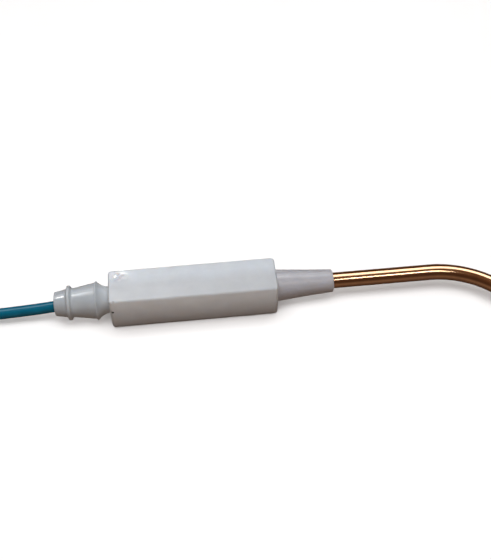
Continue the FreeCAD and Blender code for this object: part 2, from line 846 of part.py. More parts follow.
def plug_half(label, top):
    """One half of the plug's body, with room for the cable end and the terminals."""
    body = in_plug_frame(new_body(label))
    end = d.plug_start + d.plug_length
    half_width = d.plug_width / 2
    half_throat = d.plug_throat_width / 2
    shoulder = d.plug_start + d.plug_shoulder
    sketch = new_sketch(body, "XY_Plane")
    add_outline(sketch, [
        (d.plug_start, -half_throat),
        (shoulder, -half_width),
        (end, -half_width),
        (end, half_width),
        (shoulder, half_width),
        (d.plug_start, half_throat),
    ])
    pad(body, sketch, d.plug_height, backwards=not top)
    rounded(body, d.plug_rounding, lambda middle: abs(middle.z) > JOINT_TOLERANCE)

    room = new_sketch(body, "XY_Plane")
    half_room = half_width - d.plug_wall
    room_start = shoulder + d.plug_wall
    add_rectangle(room, room_start, end - d.plug_wall, -half_room, half_room)
    pocket(body, room, d.plug_depth, backwards=top)

    slots = new_sketch(body, "XY_Plane")
    for side, width in ((1, d.positive_blade_width), (-1, d.negative_blade_width)):
        middle = side * d.blade_spacing / 2
        add_rectangle(slots, end - d.plug_wall - d.blade_slot_overrun, end,
                      middle - width / 2, middle + width / 2)
    pocket(body, slots, d.blade_thickness / 2, backwards=top)

    neck_end = d.plug_start + d.plug_wall
    flange_end = neck_end + d.grommet_flange_width + d.fit_gap
    bored(body, steps([
        (d.plug_start, neck_end, d.grommet_neck_radius + d.fit_gap / 2),
        (neck_end, flange_end, d.grommet_flange_radius + d.fit_gap / 2),
        (flange_end, room_start + d.plug_bore_overrun, d.cable_radius + d.fit_gap),
    ]))

    boss = new_sketch(body, "XY_Plane", height=-d.plug_depth if not top else 0)
    add_circle(boss, d.cover_screw_place, 0, d.boss_radius)
    pad(body, boss, d.plug_depth)
    screw_hole = new_sketch(body, "XY_Plane")
    add_circle(screw_hole, d.cover_screw_place, 0, d.cover_screw_radius)
    if top:
        pocket(body, screw_hole, d.plug_height, backwards=True)
        recess = new_sketch(body, "XY_Plane", height=d.plug_height)
        add_circle(recess, d.cover_screw_place, 0, d.cover_head_radius + d.fit_gap)
        pocket(body, recess, d.cover_head_height + d.fit_gap)
    else:
        pocket(body, screw_hole, d.cover_screw_depth)
        pillars = new_sketch(body, "XY_Plane", height=-d.plug_depth)
        screw_holes = new_sketch(body, "XY_Plane")
        for side in (1, -1):
            middle = side * d.blade_spacing / 2
            add_rectangle(pillars, d.pillar_start, end - d.plug_wall,
                          middle - d.pillar_width / 2, middle + d.pillar_width / 2)
            add_circle(screw_holes, d.terminal_place, middle, d.terminal_screw_radius)
        pad(body, pillars, d.plug_depth - d.blade_thickness / 2)
        pocket(body, screw_holes, d.terminal_depth)


def plug_blade(name, width, side):
    """A flat blade with a clearance hole for its terminal screw and a bevelled tip."""
    body = in_plug_frame(new_body("plug_blade_" + name))
    tip = d.plug_start + d.plug_length + d.blade_reach
    middle = side * d.blade_spacing / 2
    bevel = d.blade_bevel
    sketch = new_sketch(body, "XY_Plane", height=-d.blade_thickness / 2)
    add_outline(sketch, [
        (d.blade_inner_end, middle - width / 2),
        (tip - bevel, middle - width / 2),
        (tip, middle - width / 2 + bevel),
        (tip, middle + width / 2 - bevel),
        (tip - bevel, middle + width / 2),
        (d.blade_inner_end, middle + width / 2),
    ])
    add_circle(sketch, d.terminal_place, middle, d.terminal_screw_radius)
    pad(body, sketch, d.blade_thickness)


def screw_shape(place, head_bottom, head_radius, head_height, shank_radius, shank_end):
    """A slotted cheese-head screw that points down."""
    head = Part.makeCylinder(head_radius, head_height, Vector(place.x, place.y, head_bottom))
    shank = Part.makeCylinder(
        shank_radius, head_bottom - shank_end, Vector(place.x, place.y, shank_end))
    slot_low = head_bottom + head_height - d.slot_depth.value
    reach = head_radius + d.fit_gap.value
    slot = Part.makeBox(
        2 * reach, d.slot_width.value, 2 * d.slot_depth.value,
        Vector(place.x - reach, place.y - d.slot_width.value / 2, slot_low))
    return head.fuse(shank).cut(slot).removeSplitter()


def plug_screws():
    """The two terminal screws and the cover screw."""
    wire_top = d.blade_thickness.value / 2 + 2 * d.wire_radius.value
    terminals = []
    for side in (1, -1):
        place = Vector(d.terminal_place.value, side * d.blade_spacing.value / 2, 0)
        terminals.append(screw_shape(
            place, wire_top, d.terminal_head_radius.value, d.terminal_head_height.value,
            d.terminal_screw_radius.value, -d.terminal_depth.value))
    new_feature("plug_terminal_screws", Part.makeCompound(terminals), in_plug_frame)
    head_bottom = (d.plug_height - d.cover_head_height - d.fit_gap).value
    cover_screw = screw_shape(
        Vector(d.cover_screw_place.value, 0, 0), head_bottom, d.cover_head_radius.value,
        d.cover_head_height.value, d.cover_screw_radius.value, -d.cover_screw_depth.value)
    new_feature("plug_cover_screw", cover_screw, in_plug_frame)


def plug_grommet():
    """Tapered strain relief, held in the plug by its flange."""
    wall_end = d.plug_start + d.plug_wall
    flange_end = wall_end + d.grommet_flange_width
    in_plug_frame(turned("plug_grommet", [
        (0, d.cable_radius),
        (flange_end, d.cable_radius),
        (flange_end, d.grommet_flange_radius),
        (wall_end, d.grommet_flange_radius),
        (wall_end, d.grommet_neck_radius),
        (d.plug_start, d.grommet_neck_radius),
        (d.plug_start, d.grommet_inner_radius),
        (0, d.grommet_outer_radius),
    ]))


def plug_core_path(side, end):
    """A core in the plug: from the jacket to beside its terminal screw, on top of the blade."""
    near = side * d.core_offset.value
    far = side * (d.blade_spacing.value / 2 + d.terminal_wire_offset.value)
    height = d.blade_thickness.value / 2 + d.wire_radius.value
    points = [
        Vector(d.core_setback.value, near, 0),
        Vector(d.plug_core_spread_start.value, near, 0),
        Vector(d.plug_core_spread_end.value, far, height),
        Vector(end, far, height),
    ]
    return rounded_path(points, [d.plug_core_bend_radius.value] * 2)


def plug_cable_end():
    """The jacket's end in the plug, and the cores that go to the terminals."""
    in_plug_frame(turned("plug_jacket_end", [
        (0, d.jacket_bore_radius),
        (0, d.cable_radius),
        (d.plug_jacket_end, d.cable_radius),
        (d.plug_jacket_end, d.jacket_bore_radius),
    ]))
    wire_end = (d.terminal_place + d.wire_past_screw).value
    covered_end = (d.blade_inner_end - d.fit_gap).value
    for name, side in (("positive", 1), ("negative", -1)):
        whole = plug_core_path(side, wire_end)
        conductor = swept(whole, d.wire_radius.value)
        covered = plug_core_path(side, covered_end)
        insulation = swept(covered, d.core_radius.value).cut(
            swept(covered, d.wire_radius.value))
        new_feature("plug_conductor_" + name, conductor, in_plug_frame)
        new_feature("plug_core_" + name, insulation, in_plug_frame)


# ---- assembly ----

def build():
    housing_shell("housing_front_shell", front=True)
    housing_shell("housing_rear_shell", front=False)
    cable_boot()
    nose_sleeve()
    sheath()
    seal_plug()
    sheath_collar()
    splices()
    junction_divider()
    housing_cable_end()
    cable_clamp()
    free_cable()
    plug_half("plug_base", top=False)
    plug_half("plug_cover", top=True)
    plug_blade("positive", d.positive_blade_width, 1)
    plug_blade("negative", d.negative_blade_width, -1)
    plug_screws()
    plug_grommet()
    plug_cable_end()
    document.recompute()


def check_and_write():
    """Writes each piece to its own file, once every object is sound."""
    broken = [item.Label for item in document.Objects
              if "Invalid" in item.State or "Error" in item.State]
    broken += [part.Label for part in parts if part.Shape.isNull() or not part.Shape.isValid()]
    if broken:
        raise ValueError(f"these objects failed: {broken}")
    os.makedirs("parts", exist_ok=True)
    for part in parts:
        part.Shape.exportStep(f"parts/{part.Label}.step")
    print(len(parts), "pieces written")


build()
check_and_write()
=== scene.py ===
import json
import math

import bmesh
import bpy
from mathutils import Matrix, Vector, noise


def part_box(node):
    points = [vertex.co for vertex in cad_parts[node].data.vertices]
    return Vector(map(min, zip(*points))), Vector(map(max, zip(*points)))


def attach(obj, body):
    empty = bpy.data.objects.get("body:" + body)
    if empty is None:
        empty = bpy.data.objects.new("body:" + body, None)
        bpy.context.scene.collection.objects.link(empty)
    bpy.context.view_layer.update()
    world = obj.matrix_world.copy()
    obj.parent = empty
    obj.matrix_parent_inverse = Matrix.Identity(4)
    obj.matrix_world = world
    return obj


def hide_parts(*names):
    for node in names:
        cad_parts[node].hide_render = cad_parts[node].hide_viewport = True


MM = 0.001

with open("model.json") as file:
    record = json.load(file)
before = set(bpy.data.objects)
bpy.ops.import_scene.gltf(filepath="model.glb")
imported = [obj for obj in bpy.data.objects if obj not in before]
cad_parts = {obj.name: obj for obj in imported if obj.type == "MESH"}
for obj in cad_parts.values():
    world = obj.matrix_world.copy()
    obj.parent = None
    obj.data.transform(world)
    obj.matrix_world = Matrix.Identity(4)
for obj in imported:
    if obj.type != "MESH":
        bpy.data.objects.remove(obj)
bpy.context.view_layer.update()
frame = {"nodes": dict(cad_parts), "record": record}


def low_of(node):
    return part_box(node)[0] / MM


def high_of(node):
    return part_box(node)[1] / MM


HOUSING_LOW = low_of("housing_front_shell")
HOUSING_HIGH = high_of("housing_rear_shell")
HALF_LENGTH = HOUSING_HIGH.x
HALF_SIDE = HOUSING_HIGH.y
AXIS_HEIGHT = HALF_SIDE


# ---- camera ----

LENS_MM = 54.64
CAMERA_DISTANCE = 0.3212
CAMERA_PITCH = math.radians(51.23)
CAMERA_YAW = math.radians(6.21)
AIM = Vector((19.95, 3.78, 7.6)) * MM


def add_camera():
    """Looks down on the part by the pitch, and a little from its left."""
    data = bpy.data.cameras.new("camera")
    data.lens = LENS_MM
    data.sensor_width = 36.0
    data.clip_start = 0.01
    data.clip_end = 20.0
    camera = bpy.data.objects.new("camera", data)
    level = math.cos(CAMERA_PITCH)
    ahead = Vector((
        math.sin(CAMERA_YAW) * level,
        math.cos(CAMERA_YAW) * level,
        -math.sin(CAMERA_PITCH),
    ))
    camera.location = AIM - ahead * CAMERA_DISTANCE
    camera.rotation_mode = "QUATERNION"
    camera.rotation_quaternion = ahead.to_track_quat("-Z", "Y")
    bpy.context.collection.objects.link(camera)
    bpy.context.scene.camera = camera


# ---- cable ----

CABLE_DIAMETER = 0.0042
LEAD_ROUTE = [
    (-37.0, 0.0, 7.6),
    (-41.5, 0.0, 7.6),
    (-57.5, 0.0, 5.4),
    (-75.5, 0.0, 4.4),
    (-96.0, -0.1, 3.1),
    (-107.0, -0.2, 2.5),
]
TAIL_ROUTE = [
    (-148.3, -40.2, 6.1),
    (-147.6, -49.0, 5.4),
    (-144.1, -60.5, 4.0),
    (-144.1, -71.2, 4.0),
]
COIL_MIDDLE_RADIUS = 25.2
COIL_PITCH = 4.3
COIL_TURNS = 5.264
POINTS_PER_TURN = 24
LAYER_HEIGHTS = (2.1, 6.3)


def coil_points():
    """Two layers of turns: the lower one winds inwards, the upper one outwards."""
    middle = (low_of("cable_coil") + high_of("cable_coil")) / 2
    widest = COIL_MIDDLE_RADIUS + COIL_TURNS * COIL_PITCH / 4
    count = round(COIL_TURNS * POINTS_PER_TURN)
    points = []
    for step in range(count + 1):
        turn = COIL_TURNS * step / count
        inwards = min(turn, COIL_TURNS - turn)
        radius = widest - COIL_PITCH * inwards
        climb = min(max((turn - COIL_TURNS / 2) * 6 + 0.5, 0.0), 1.0)
        climb = climb * climb * (3 - 2 * climb)
        angle = math.tau * (turn + 0.25)
        points.append((
            middle.x + radius * math.cos(angle),
            middle.y + radius * math.sin(angle),
            LAYER_HEIGHTS[0] + (LAYER_HEIGHTS[1] - LAYER_HEIGHTS[0]) * climb,
        ))
    return points


def add_cable():
    curve = bpy.data.curves.new("cable", "CURVE")
    curve.dimensions = "3D"
    spline = curve.splines.new("NURBS")
    points = LEAD_ROUTE + coil_points() + TAIL_ROUTE
    spline.points.add(len(points) - 1)
    for point, place in zip(spline.points, points):
        point.co = (*(Vector(place) * MM), 1.0)
    spline.order_u = 3
    spline.use_endpoint_u = True
    spline.resolution_u = 10
    curve.bevel_depth = CABLE_DIAMETER / 2
    curve.bevel_resolution = 10
    curve.use_fill_caps = True
    cable = bpy.data.objects.new("cable", curve)
    bpy.context.collection.objects.link(cable)
    cable.data.materials.append(MATERIALS["cable_jacket"])
    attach(cable, "root")
    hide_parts("cable_run", "cable_coil", "cable_tail")
    return cable


# ---- materials ----

PLASTIC_IOR = 1.5


class Material:
    """A node material: the Principled shader, and short calls that add nodes to it."""

    def __init__(self, name, **sockets):
        self.data = bpy.data.materials.new(name)
        self.data.use_nodes = True
        self.tree = self.data.node_tree
        self.shader = self.tree.nodes["Principled BSDF"]
        for socket, value in sockets.items():
            self.put(self.shader.inputs[socket.replace("_", " ")], value)

    def put(self, socket, value):
        if isinstance(value, bpy.types.NodeSocket):
            self.tree.links.new(value, socket)
        else:
            socket.default_value = value

    def node(self, kind, inputs, **settings):
        node = self.tree.nodes.new("ShaderNode" + kind)
        for name, value in settings.items():
            setattr(node, name, value)
        for name, value in inputs.items():
            self.put(node.inputs[name], value)
        return node

    def place(self, stretch=(1, 1, 1)):
        """Object coordinates, each axis multiplied by its stretch."""
        where = self.node("TexCoord", {}).outputs["Object"]
        return self.node("Mapping", {"Vector": where, "Scale": stretch}).outputs["Vector"]

    def noise(self, size, where=None, detail=3.0, rough=0.5):
        """Noise from 0 to 1 whose blotches are about the given size in millimetres."""
        inputs = {
            "Vector": where or self.place(),
            "Scale": 1 / (size * MM),
            "Detail": detail,
            "Roughness": rough,
        }
        return self.node("TexNoise", inputs).outputs["Fac"]

    def span(self, value, low, high, from_low=0.3, from_high=0.7):
        inputs = {
            "Value": value, "From Min": from_low, "From Max": from_high,
            "To Min": low, "To Max": high,
        }
        return self.node("MapRange", inputs).outputs["Result"]

    def spot(self, centre, reach):
        """1 at the centre, falling to 0 at the reach along each axis, both in millimetres."""
        scale = [1 / (length * MM) for length in reach]
        where = self.node("Mapping", {
            "Vector": self.place(),
            "Location": [-place * MM * factor for place, factor in zip(centre, scale)],
            "Scale": scale,
        }).outputs["Vector"]
        return self.node("TexGradient", {"Vector": where}, gradient_type="SPHERICAL").outputs["Fac"]

    def ramp(self, value, *stops):
        """A colour for each value, from stops of (value, colour)."""
        node = self.node("ValToRGB", {"Fac": value})
        elements = node.color_ramp.elements
        while len(elements) < len(stops):
            elements.new(0.5)
        for element, (position, colour) in zip(elements, stops):
            element.position = position
            element.color = (*colour, 1.0)
        return node.outputs["Color"]

    def math(self, operation, first, second):
        node = self.tree.nodes.new("ShaderNodeMath")
        node.operation = operation
        self.put(node.inputs[0], first)
        self.put(node.inputs[1], second)
        return node.outputs["Value"]

    def blend(self, factor, first, second, how="MIX"):
        node = self.tree.nodes.new("ShaderNodeMix")
        node.data_type = "RGBA"
        node.blend_type = how
        self.put(node.inputs[0], factor)
        self.put(node.inputs[6], first)
        self.put(node.inputs[7], second)
        return node.outputs[2]

    def bump(self, height, depth, normal=None):
        """Relief of the given depth in millimetres."""
        inputs = {"Height": height, "Distance": depth * MM, "Strength": 1.0}
        if normal:
            inputs["Normal"] = normal
        return self.node("Bump", inputs).outputs["Normal"]

    def finish(self, colour=None, roughness=None, normal=None):
        for socket, value in (("Base Color", colour), ("Roughness", roughness), ("Normal", normal)):
            if value is not None:
                self.put(self.shader.inputs[socket], value)
        return self.data


def shade(colour, factor):
    return tuple(min(channel * factor, 1.0) for channel in colour)


def milky_plastic(name, colour, depth, roughness=(0.34, 0.5), marks=None):
    """Translucent moulded plastic: clouded colour, a fine matt grain and flow marks."""
    material = Material(
        name, Subsurface_Weight=1.0, Subsurface_Radius=(1.0, 0.88, 0.78),
        Subsurface_Scale=depth * MM, IOR=PLASTIC_IOR)
    clouds = material.noise(6.0, detail=4.0)
    flow = material.noise(2.2, material.place((0.25, 1.0, 1.0)), detail=3.0)
    colour_now = material.ramp(
        clouds, (0.3, shade(colour, 0.95)), (0.55, colour), (0.75, shade(colour, 1.04)))
    specks = material.noise(0.5, detail=2.0)
    tinted = material.blend(material.span(specks, 0.0, 0.12, 0.62, 0.75), colour_now,
                            (*shade(colour, 0.72), 1.0))
    rough = material.span(flow, *roughness)
    # For the housing this adds painted highlight and painted shade to the colour.
    if marks:
        tinted, rough = marks(material, tinted, rough)
    grain = material.bump(material.noise(0.18, detail=2.0), 0.006)
    ripple = material.bump(flow, 0.03, grain)
    return material.finish(tinted, rough, ripple)


def housing_gloss_and_painted_light(material, colour, roughness):
    """Gloss at the dent with a painted highlight in its paler colour, painted shade in the vent's hollow,
    painted shade over the front half, painted contact shade at the bottom.
    """
    # Painted highlight: the paler colour at the dent stands in for the glint on its folds; the lower
    # roughness there is real gloss.
    gloss_and_highlight_patch = material.spot((DENT_PLACE.x - 0.4, DENT_PLACE.y, 2 * AXIS_HEIGHT), (4.6, 2.9, 2.0))
    gloss_and_highlight_patch = material.math("MULTIPLY", gloss_and_highlight_patch, material.span(material.noise(1.6, detail=4.0), 0.6, 1.6))
    gloss_and_painted_highlight = material.span(gloss_and_highlight_patch, 0.0, 1.0, 0.15, 0.6)
    colour = material.blend(gloss_and_painted_highlight, colour, (1.0, 1.0, 0.98, 1.0))
    roughness = material.math("SUBTRACT", roughness, material.math("MULTIPLY", gloss_and_painted_highlight, 0.26))
    # Painted shade: the vent's hollow is coloured near black where shade falls in it.
    pit_painted_shade = material.spot(PIT_PLACE, (0.8, 1.0, 0.75))
    colour = material.blend(material.span(pit_painted_shade, 0.0, 1.0, 0.2, 0.4), colour, (0.03, 0.025, 0.02, 1.0))
    place = material.node("SeparateXYZ", {"Vector": material.place()}).outputs
    # Painted shade: the front half is multiplied to a darker grey, standing in for the shade on that
    # side.
    front_painted_shade = material.span(place["Y"], 1.0, 0.0, -0.001, 0.0035)
    colour = material.blend(front_painted_shade, colour, (0.88, 0.86, 0.84, 1.0), "MULTIPLY")
    # Painted contact shade: the colour darkens to brown towards the bottom, where shade falls at the
    # floor.
    dust_and_painted_shade = material.span(place["Z"], 0.55, 0.0, 0.0002, 0.0013)
    return material.blend(dust_and_painted_shade, colour, (0.10, 0.08, 0.065, 1.0)), roughness


def boot_marks(material, colour, roughness):
    """The end past the ring is polished by handling."""
    polished = material.spot((HOUSING_LOW.x - 18.5, 0.0, AXIS_HEIGHT), (4.4, 12.0, 12.0))
    polished = material.span(polished, 0.0, 0.22, 0.0, 0.3)
    return colour, material.math("SUBTRACT", roughness, polished)


def solid_plastic(name, colour, grain_size=0.3, grain_depth=0.012, roughness=(0.4, 0.55)):
    """Opaque moulded plastic with a spark-eroded grain."""
    material = Material(name, IOR=PLASTIC_IOR)
    clouds = material.noise(4.0, detail=4.0)
    colour_now = material.ramp(clouds, (0.3, shade(colour, 0.85)), (0.7, shade(colour, 1.12)))
    scuffs = material.noise(1.2, material.place((0.3, 1.0, 1.0)), detail=5.0, rough=0.65)
    normal = material.bump(material.noise(grain_size, detail=2.0), grain_depth)
    return material.finish(colour_now, material.span(scuffs, *roughness), normal)


def polished_copper():
    """Drawn tube: bright, with fine lengthwise lines, faint tarnish and small handling marks."""
    material = Material("copper", Metallic=1.0, IOR=1.5)
    tube_place = material.node("Attribute", {}, attribute_name="tube_place").outputs["Vector"]
    along = material.node("Mapping", {"Vector": tube_place, "Scale": (0.03, 1.0, 1.0)})
    lines = material.noise(0.22, along.outputs["Vector"], detail=4.0, rough=0.6)
    tarnish = material.noise(7.0, detail=5.0, rough=0.6)
    spots = material.noise(0.9, detail=3.0)
    bright = (0.95, 0.61, 0.37)
    colour = material.ramp(
        tarnish, (0.32, shade(bright, 0.86)), (0.5, bright), (0.72, shade(bright, 0.93)))
    colour = material.blend(material.span(spots, 0.0, 0.35, 0.66, 0.8), colour,
                            (0.52, 0.30, 0.17, 1.0))
    roughness = material.math("ADD", material.span(lines, 0.10, 0.19),
                              material.span(tarnish, 0.0, 0.05))
    normal = material.bump(lines, 0.0035)
    return material.finish(colour, roughness, normal)


def metal(name, colour, roughness, stretch):
    """Machined or stamped metal: brushed lines along one axis and a little staining."""
    material = Material(name, Metallic=1.0)
    brushed = material.noise(0.12, material.place(stretch), detail=4.0, rough=0.6)
    stain = material.noise(1.8, detail=4.0)
    colour_now = material.ramp(stain, (0.3, shade(colour, 0.82)), (0.65, colour))
    normal = material.bump(brushed, 0.004)
    return material.finish(colour_now, material.span(brushed, *roughness), normal)


def cable_jacket():
    """Glossy plastic: the twist of the two cores shows as a slow swell under the gloss."""
    material = Material("cable_jacket", IOR=PLASTIC_IOR)
    clouds = material.noise(5.0, detail=3.0)
    dust_and_painted_shade = material.noise(0.35, detail=4.0, rough=0.7)
    colour = material.ramp(clouds, (0.3, (0.0005, 0.15, 0.245)), (0.7, (0.0008, 0.185, 0.29)))
    colour = material.blend(material.span(dust_and_painted_shade, 0.0, 0.06, 0.6, 0.85), colour,
                            (0.08, 0.24, 0.32, 1.0))
    roughness = material.span(dust_and_painted_shade, 0.13, 0.22)
    swell = material.bump(material.noise(3.0, detail=1.0), 0.05)
    skin = material.bump(material.noise(0.25, detail=2.0), 0.004, swell)
    return material.finish(colour, roughness, skin)


def packed_powder():
    material = Material("mineral_powder")
    grains = material.noise(0.12, detail=4.0, rough=0.7)
    colour = material.ramp(grains, (0.35, (0.62, 0.60, 0.55)), (0.65, (0.88, 0.87, 0.83)))
    return material.finish(colour, material.span(grains, 0.8, 1.0), material.bump(grains, 0.05))


def cast_resin():
    material = Material("potting", IOR=1.55)
    clouds = material.noise(1.5, detail=4.0)
    bubbles = material.noise(0.3, detail=1.0)
    colour = material.ramp(clouds, (0.3, (0.006, 0.006, 0.007)), (0.7, (0.02, 0.02, 0.022)))
    roughness = material.span(clouds, 0.25, 0.45)
    return material.finish(colour, roughness, material.bump(bubbles, 0.03))


def glass_cloth_board():
    """Resin board: woven glass cloth shows through as a fine chequer."""
    material = Material("insulating_board", IOR=PLASTIC_IOR)
    where = material.place()
    weave = material.node("TexChecker", {
        "Vector": where, "Scale": 1 / (0.5 * MM),
        "Color1": (0.52, 0.40, 0.20, 1), "Color2": (0.64, 0.52, 0.30, 1),
    })
    fibres = material.noise(0.15, material.place((0.1, 1.0, 1.0)), detail=3.0)
    colour = material.blend(0.6, weave.outputs["Color"],
                            material.ramp(fibres, (0.3, (0.46, 0.36, 0.19)), (0.7, (0.70, 0.58, 0.36))))
    normal = material.bump(weave.outputs["Fac"], 0.01, material.bump(fibres, 0.01))
    return material.finish(colour, material.span(fibres, 0.5, 0.7), normal)


def braided_sleeving():
    """Black braid: two sets of crossing bands."""
    material = Material("sleeving")
    bands = [
        material.node("TexWave", {"Vector": material.place(stretch), "Scale": 160.0},
                      bands_direction="DIAGONAL").outputs["Fac"]
        for stretch in ((1, 1, 1), (-1, 1, 1))
    ]
    braid = material.math("MULTIPLY", *bands)
    colour = material.ramp(braid, (0.1, (0.01, 0.01, 0.01)), (0.8, (0.07, 0.07, 0.075)))
    return material.finish(colour, material.span(braid, 0.45, 0.7), material.bump(braid, 0.06))


def stranded_wire(name, colour):
    """Fine strands: narrow bands with a metal shine."""
    material = Material(name, Metallic=1.0)
    strands = material.node("TexWave", {
        "Vector": material.place((0.25, 1.0, 1.0)), "Scale": 700.0, "Distortion": 0.6,
    }, bands_direction="DIAGONAL").outputs["Fac"]
    tarnish = material.noise(1.0, detail=3.0)
    colour_now = material.ramp(tarnish, (0.3, shade(colour, 0.75)), (0.7, colour))
    return material.finish(colour_now, material.span(tarnish, 0.2, 0.36), material.bump(strands, 0.04))


def soft_rubber():
    material = Material("grommet_rubber", IOR=PLASTIC_IOR)
    clouds = material.noise(2.0, detail=4.0)
    pores = material.noise(0.2, detail=3.0)
    colour = material.ramp(clouds, (0.3, (0.004, 0.065, 0.10)), (0.7, (0.008, 0.095, 0.14)))
    return material.finish(colour, material.span(clouds, 0.45, 0.62), material.bump(pores, 0.012))


def finish_cad_nodes():
    for subpart in frame["record"]["subparts"]:
        node = frame["nodes"][subpart["node"]]
        for slot in node.material_slots:
            slot.material = MATERIALS[subpart["material_slot"]]


# ---- pieces made in mesh code ----

SHARP_ANGLE = math.radians(35)
SAME_PLACE = 1e-3
REPLACED = set()


def add_piece(name, mesh, slot, node, matrix=Matrix.Identity(4)):
    """Turns a bmesh in millimetres into a shaded piece that stands for a CAD node."""
    bmesh.ops.recalc_face_normals(mesh, faces=mesh.faces)
    data = bpy.data.meshes.new(name)
    mesh.to_mesh(data)
    mesh.free()
    data.transform(Matrix.Scale(MM, 4) @ matrix)
    data.shade_smooth()
    data.set_sharp_from_angle(angle=SHARP_ANGLE)
    piece = bpy.data.objects.new(name, data)
    bpy.context.collection.objects.link(piece)
    data.materials.append(MATERIALS[slot])
    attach(piece, "root")
    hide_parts(node)
    REPLACED.add(node)
    return piece


def rounded_outline(corners, longest=0.8, arc_steps=5):
    """A closed outline from corners of (along, out, rounding), its long sides divided."""
    outline = []
    for index, (along, out, rounding) in enumerate(corners):
        here = Vector((along, out))
        if not rounding:
            outline.append(here)
            continue
        before = (Vector(corners[index - 1][:2]) - here).normalized()
        after = (Vector(corners[(index + 1) % len(corners)][:2]) - here).normalized()
        half_angle = before.angle(after) / 2
        centre = here + (before + after).normalized() * (rounding / math.sin(half_angle))
        reach = rounding / math.tan(half_angle)
        start = here + before * reach - centre
        end = here + after * reach - centre
        for step in range(arc_steps + 1):
            outline.append(centre + start.lerp(end, step / arc_steps).normalized() * rounding)
    divided = []
    for index, point in enumerate(outline):
        following = outline[(index + 1) % len(outline)]
        pieces = max(1, math.ceil((following - point).length / longest))
        divided += [point.lerp(following, part / pieces) for part in range(pieces)]
    return divided


def lathe(outline, segments, relief=None):
    """Turns an outline of (along, radius) about X. A radius of 0 is a pole. The relief lowers points."""
    mesh = bmesh.new()
    rings = []
    for along, radius in outline:
        if radius < SAME_PLACE:
            rings.append([mesh.verts.new((along, 0, 0))] * segments)
            continue
        ring = []
        for segment in range(segments):
            angle = math.tau * segment / segments
            now = radius - (relief(along, angle, radius) if relief else 0.0)
            place = (along, now * math.cos(angle), now * math.sin(angle))
            ring.append(mesh.verts.new(place))
        rings.append(ring)
    for ring, following in zip(rings, rings[1:] + rings[:1]):
        for segment in range(segments):
            after = (segment + 1) % segments
            corners = (ring[segment], ring[after], following[after], following[segment])
            corners = list(dict.fromkeys(corners))
            if len(corners) > 2:
                mesh.faces.new(corners)
    return mesh


def wave(x, y, z, size):
    """Smooth noise from 0 to 1 with bumps of the given size."""
    return 0.5 + 0.5 * noise.noise(Vector((x, y, z)) / size)


# housing

SINK_DEPTH = 0.05
SINK_SIZE = 9.0
SEAM_DEPTH = 0.004
SEAM_HALF_WIDTH = 0.12
DENT_PLACE = Vector((-26.6, 4.4))
DENT_DEPTH = 0.32
BEADS = ((Vector((-27.8, 5.2)), 1.0), (Vector((-25.4, 4.2)), 0.8), (Vector((-26.6, 3.1)), 0.7))
PIT_PLACE = (-29.95, -7.6, 9.42)
HOUSING_SKIN = 0.85
LENGTH_STEP, HEIGHT_STEP, WIDTH_STEP = 1.5, 1.2, 0.42
DENT_STEP = 0.45
DENT_STRETCH = 9.0


def crease(x, y):
    """A shallow dent near the far corner beside the boot, with two raised folds in it."""
    here = Vector((x, y))
    away = here - DENT_PLACE
    dent = math.exp(-(away.x / 3.2) ** 2 - (away.y / 1.9) ** 2)
    folds = sum(math.exp(-((here - place).length / size) ** 2) for place, size in BEADS)
    return DENT_DEPTH * dent * (1 - min(folds, 1.0))


def housing_relief(place):
    """How far a point of the housing's outer skin lies under the true square, in millimetres."""
    depth = SINK_DEPTH * wave(place.x, place.y, place.z, SINK_SIZE)
    depth += SEAM_DEPTH * max(0.0, 1 - abs(place.y) / SEAM_HALF_WIDTH)
    if place.z > AXIS_HEIGHT + HALF_SIDE / 2:
        depth += crease(place.x, place.y)
    return depth


def cut_grid(mesh, axis, places):
    """Cuts the mesh's faces along planes across the axis."""
    across = Vector((0, 0, 0))
    across[axis] = 1
    for place in places:
        bmesh.ops.bisect_plane(
            mesh, geom=mesh.verts[:] + mesh.edges[:] + mesh.faces[:],
            dist=SAME_PLACE / 10, plane_co=across * place, plane_no=across)


def stations(low, high, step):
    """Places between low and high, about a step apart."""
    count = round((high - low) / step)
    return [low + (high - low) * index / count for index in range(1, count)]


def copy_in_mm(node):
    mesh = bmesh.new()
    mesh.from_mesh(frame["nodes"][node].data)
    bmesh.ops.scale(mesh, vec=Vector((1, 1, 1)) / MM, verts=mesh.verts)
    bmesh.ops.remove_doubles(mesh, verts=mesh.verts, dist=SAME_PLACE)
    return mesh


LEAST_SLOPE = 0.3


def press_in(mesh, is_skin, relief, flat_axis=1, flat_place=0.0):
    """Moves the outer skin inwards by its relief. Points of the joint stay in its plane."""
    mesh.normal_update()
    moves = []
    for vertex in mesh.verts:
        if not is_skin(vertex.co):
            continue
        normal = vertex.normal.copy()
        if abs(vertex.co[flat_axis] - flat_place) < SAME_PLACE:
            normal[flat_axis] = 0
            if normal.length < LEAST_SLOPE:
                continue
            normal.normalize()
        moves.append((vertex, vertex.co - normal * relief(vertex.co)))
    for vertex, place in moves:
        vertex.co = place


def on_housing_skin(place):
    within = HALF_SIDE - HOUSING_SKIN
    return abs(place.y) > within or abs(place.z - AXIS_HEIGHT) > within


def add_housing_shell(node, name):
    mesh = copy_in_mm(node)
    low, high = low_of(node), high_of(node)
    near_dent = stations(low.x, low.x + DENT_STRETCH, DENT_STEP)
    cut_grid(mesh, 0, stations(low.x, high.x, LENGTH_STEP) + near_dent)
    cut_grid(mesh, 2, stations(low.z, high.z, HEIGHT_STEP))
    side = math.copysign(1, low.y + high.y)
    across = [SEAM_HALF_WIDTH] + stations(0.0, HALF_SIDE, WIDTH_STEP)
    cut_grid(mesh, 1, [side * y for y in across])
    press_in(mesh, on_housing_skin, housing_relief)
    return add_piece(name, mesh, "housing_plastic", node)


# boot and nose

